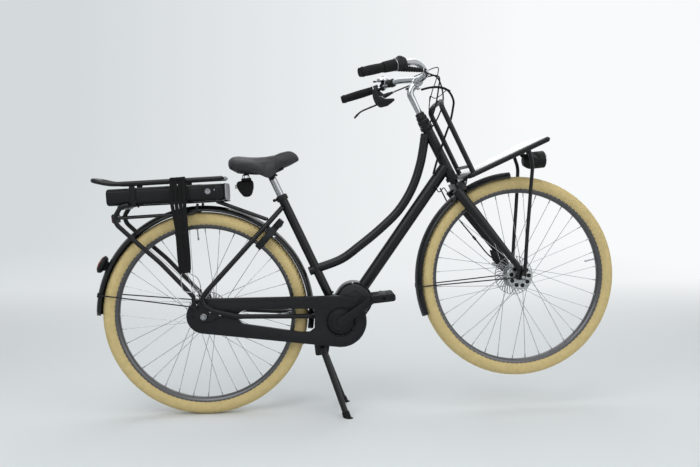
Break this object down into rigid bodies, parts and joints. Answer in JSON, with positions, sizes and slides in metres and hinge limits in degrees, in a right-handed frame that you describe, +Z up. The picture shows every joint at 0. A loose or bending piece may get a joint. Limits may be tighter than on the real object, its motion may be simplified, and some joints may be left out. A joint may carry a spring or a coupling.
{
  "type": "dutch city bike",
  "caption": "Upright step-through electric city bike with full mudguards, chain case, hub brakes, tray carriers, ring lock, sliding rear battery and centre stand.",
  "frame": {"origin": "centre of the bounding box at floor height, with the rear tyre and both stand feet on the floor", "axes": "+X to the front of the bike, +Y to the rider's left, +Z up; the drive side faces -Y"},
  "size_m": [1.8684, 0.5836, 1.2313],
  "materials": {
    "frame_black": "satin black paint",
    "case_black": "satin",
    "fender_black": "satin",
    "plastic_black": "matt",
    "motor_grey": "satin dark grey",
    "rubber_black": "matt",
    "tyre_cream": "matt cream rubber",
    "steel_bright": "brushed",
    "steel_black": "satin black paint",
    "alloy_cast": "cast and machined",
    "rim_black": "satin black",
    "board_grey": "light grey, matt",
    "cap_grey": "matt mid grey",
    "leather_black": "matt dark grey",
    "webbing_black": "woven elastic band",
    "bag_black": "woven",
    "lens_red": "gloss red",
    "lens_clear": "clear"
  },
  "bodies": {
    "frame": {"frame": "frame_black", "motor_unit": "motor_grey", "chain_case": "case_black", "chain": "steel_bright", "rear_fender": "fender_black", "rear_carrier": "frame_black", "luggage_strap": "webbing_black", "rear_light": "plastic_black", "rear_light_lens": "lens_red", "rear_reflector": "lens_red", "ring_lock": "case_black", "rear_axle": "steel_bright", "seat_clamp": "steel_black", "rear_brake_unit": "alloy_cast", "battery_dock": "cap_grey"},
    "seatpost": {"seat_post": "steel_bright", "saddle": "leather_black", "saddle_rails": "steel_black", "saddle_bag": "bag_black"},
    "steering": {"fork": "frame_black", "headset_nut": "steel_black", "quill_stem": "steel_bright", "handlebar": "steel_bright", "grip_left": "rubber_black", "grip_right": "rubber_black", "shifter_housing": "plastic_black", "front_carrier": "frame_black", "carrier_board": "board_grey", "front_fender": "fender_black", "front_axle": "steel_bright", "front_brake_unit": "alloy_cast", "front_brake_cable": "rubber_black", "control_cables": "rubber_black", "lever_bracket": "steel_black", "bell": "steel_bright", "assist_switch": "plastic_black"},
    "headlight_unit": {"headlight": "plastic_black", "headlight_lens": "lens_clear"},
    "brake_lever": {"brake_lever": "steel_black"},
    "bell_lever": {"bell_lever": "plastic_black"},
    "shift_grip": {"shift_grip": "rubber_black"},
    "front_wheel": {"front_tyre": "tyre_cream", "front_rim": "rim_black", "front_hub": "alloy_cast", "front_cooling_disc": "alloy_cast"},
    "rear_wheel": {"rear_tyre": "tyre_cream", "rear_rim": "rim_black", "rear_hub": "alloy_cast", "rear_cooling_disc": "alloy_cast"},
    "sprocket": {"rear_sprocket": "steel_bright"},
    "crank": {"crank_right": "steel_black", "crank_left": "steel_black", "chainring": "steel_bright"},
    "pedal_right": {"pedal_right": "plastic_black"},
    "pedal_left": {"pedal_left": "plastic_black"},
    "stand": {"stand_legs": "steel_black"},
    "lock_bolt": {"lock_bolt": "steel_bright"},
    "battery": {"battery": "plastic_black"}
  },
  "joints": [
    {"name": "steering", "type": "hinge", "parent": "frame", "child": "steering", "pos_m": [0.34489, 0.01044, 0.81142], "axis": [-0.4565, 0, 0.8897], "range_deg": [-45, 45], "stiffness_Nm_per_rad": 4, "deforming": ["control_cables"]},
    {"name": "front_wheel_spin", "type": "hinge", "parent": "steering", "child": "front_wheel", "pos_m": [0.57363, 0.01359, 0.47829], "axis": [-0.0543, 0.9981, -0.0279], "continuous": true},
    {"name": "rear_wheel_spin", "type": "hinge", "parent": "frame", "child": "rear_wheel", "pos_m": [-0.55018, 0.01044, 0.361], "axis": [0, 1, 0], "continuous": true},
    {"name": "crank_spin", "type": "hinge", "parent": "frame", "child": "crank", "pos_m": [-0.07384, 0.01044, 0.33427], "axis": [0, 1, 0], "continuous": true},
    {"name": "sprocket_spin", "type": "hinge", "parent": "frame", "child": "sprocket", "pos_m": [-0.55018, 0.01044, 0.361], "axis": [0, 1, 0], "continuous": true},
    {"name": "pedal_right_spin", "type": "hinge", "parent": "crank", "child": "pedal_right", "pos_m": [0.06548, 0.01044, 0.43168], "axis": [0, 1, 0], "continuous": true},
    {"name": "pedal_left_spin", "type": "hinge", "parent": "crank", "child": "pedal_left", "pos_m": [-0.21316, 0.01044, 0.23686], "axis": [0, 1, 0], "continuous": true},
    {"name": "kickstand_fold", "type": "hinge", "parent": "frame", "child": "stand", "pos_m": [-0.13544, 0.01044, 0.22127], "axis": [0, 1, 0], "range_deg": [0, 100]},
    {"name": "brake_lever", "type": "hinge", "parent": "steering", "child": "brake_lever", "pos_m": [0.10329, 0.22115, 1.15038], "axis": [-0.0543, 0.9981, -0.0279], "range_deg": [0, 18], "stiffness_Nm_per_rad": 1, "springref_deg": -17.19},
    {"name": "bell_lever", "type": "hinge", "parent": "steering", "child": "bell_lever", "pos_m": [0.10553, 0.2319, 1.21118], "axis": [0.0003, -0.0713, 0.9975], "range_deg": [0, 30], "stiffness_Nm_per_rad": 0.02, "springref_deg": -28.65},
    {"name": "shift_grip", "type": "hinge", "parent": "steering", "child": "shift_grip", "pos_m": [0.07647, -0.24327, 1.18869], "axis": [0.9079, 0.3411, 0.2438], "range_deg": [-60, 60]},
    {"name": "lock_bolt", "type": "hinge", "parent": "frame", "child": "lock_bolt", "pos_m": [-0.33489, 0.01044, 0.62722], "axis": [0.7473, 0, -0.6644], "range_deg": [0, 86]},
    {"name": "seatpost_height", "type": "slide", "parent": "frame", "child": "seatpost", "axis": [-0.4235, 0, 0.9059], "range_m": [-0.03, 0.06]},
    {"name": "battery_slide", "type": "slide", "parent": "frame", "child": "battery", "axis": [-0.9989, 0, -0.0464], "range_m": [0, 0.42]},
    {"name": "headlight_tilt", "type": "hinge", "parent": "steering", "child": "headlight_unit", "pos_m": [0.62789, 0.02826, 0.89803], "axis": [-0.0543, 0.9981, -0.0279], "range_deg": [-12, 12]}
  ],
  "couplings": [
    {"joint": "sprocket_spin", "follows": "crank_spin", "ratio": 2}
  ]
}
